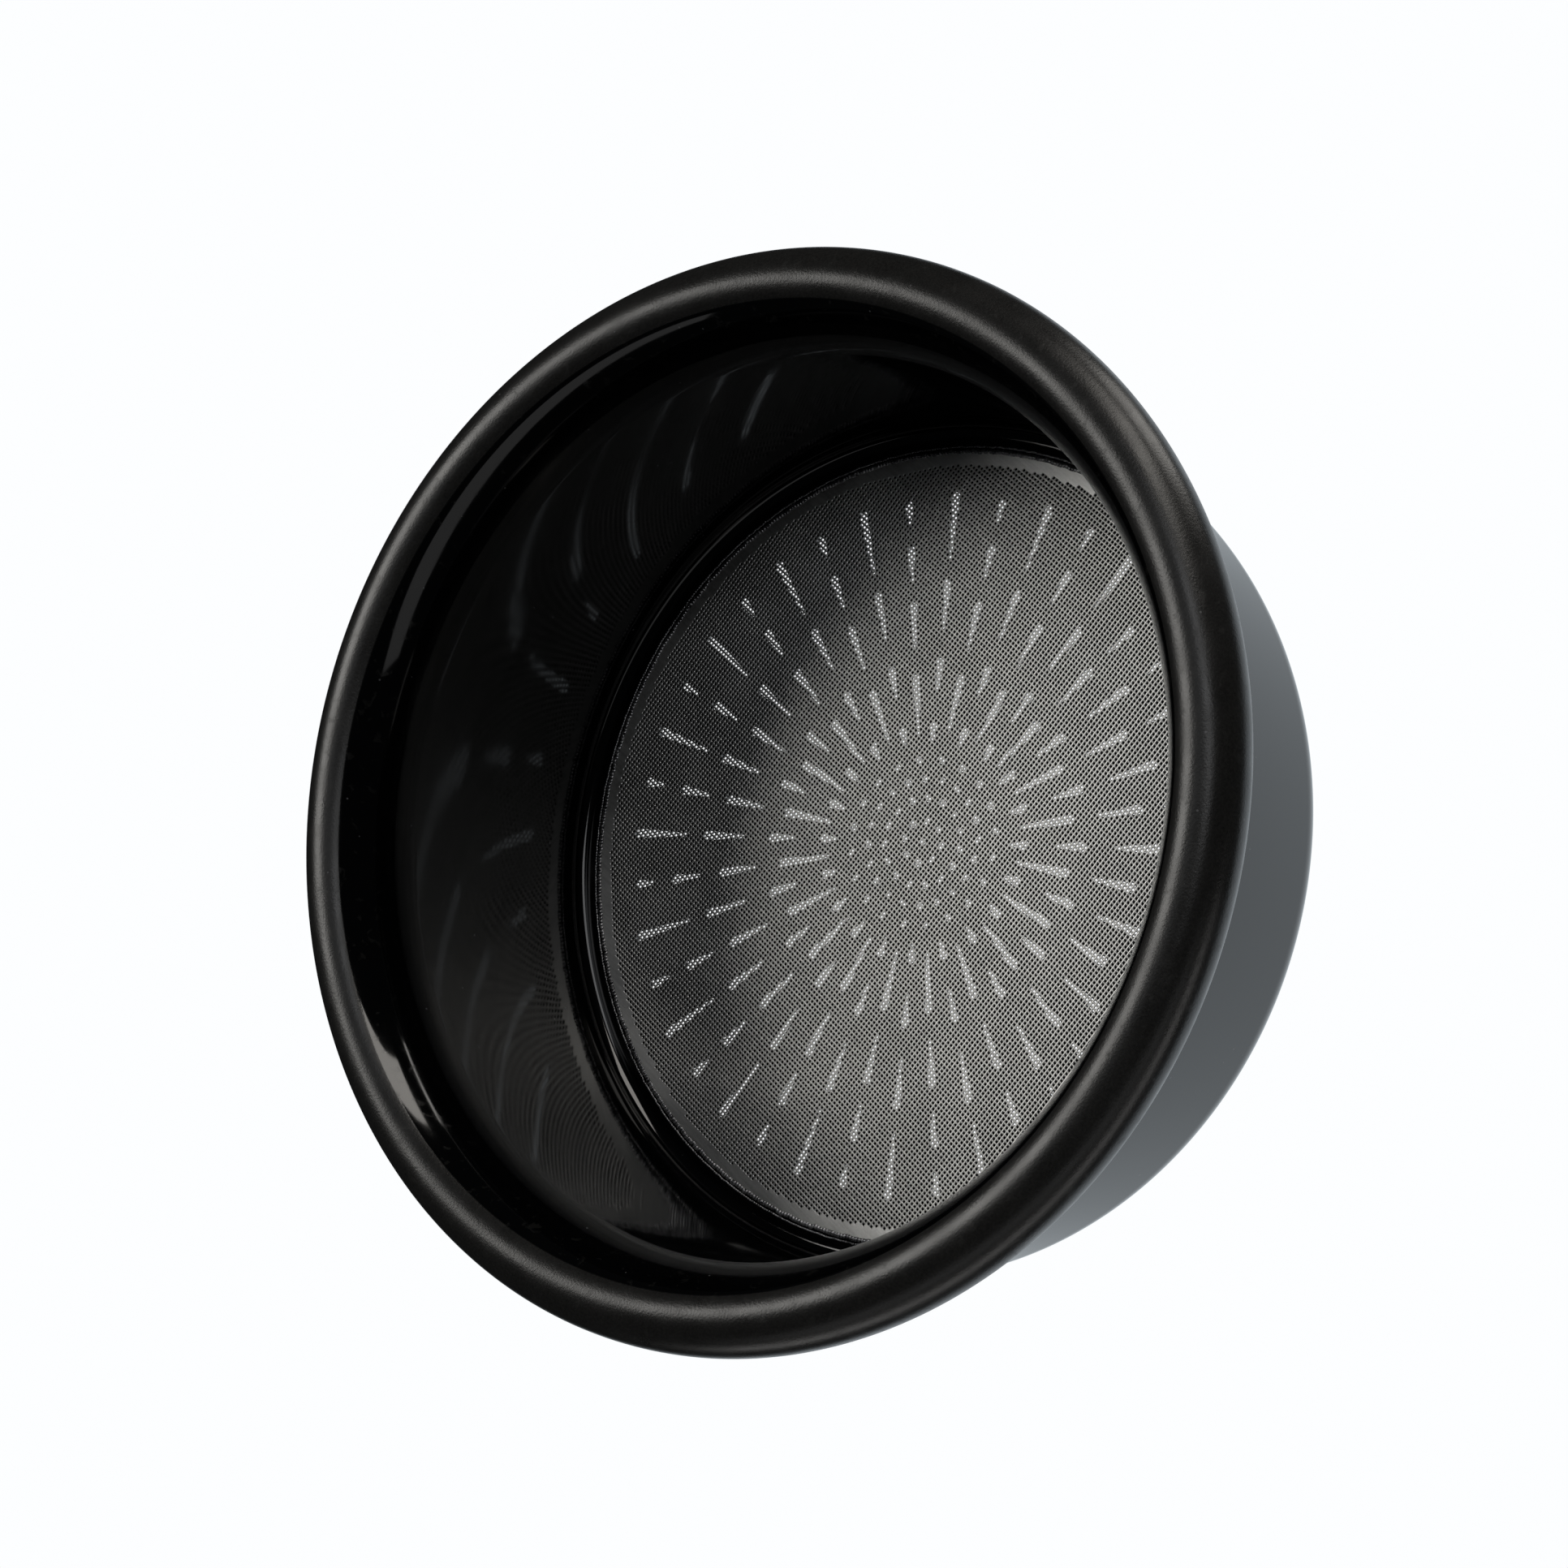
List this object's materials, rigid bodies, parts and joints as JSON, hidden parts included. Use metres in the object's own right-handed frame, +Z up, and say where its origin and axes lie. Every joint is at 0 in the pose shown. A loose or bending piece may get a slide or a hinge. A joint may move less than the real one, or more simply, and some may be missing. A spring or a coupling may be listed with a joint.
{
  "type": "espresso filter basket",
  "caption": "Black coated portafilter basket: a shallow straight-walled cup with a rolled rim, and a fine perforated filter sheet welded over a slotted support plate.",
  "frame": {"origin": "centre of the base ring, on the surface that the basket stands on", "axes": "+Z up along the axis of the cup, towards its mouth; +X along one of the longest-reaching spokes of the slotted plate"},
  "size_m": [0.07, 0.07, 0.0257],
  "materials": {
    "black_coating": "thin hard black coating on drawn stainless steel, glossy inside and outside, satin on the rim, with hair scratches",
    "filter_steel": "dark etched steel sheet, satin, finely perforated",
    "slotted_steel": "dark satin steel plate with cut slots",
    "weld_metal": "fine rippled weld seam under a dark coating, semi-matte"
  },
  "bodies": {
    "root": {"basket_body": "black_coating", "filter_membrane": "filter_steel", "support_plate": "slotted_steel", "weld_bead": "weld_metal"}
  },
  "joints": []
}
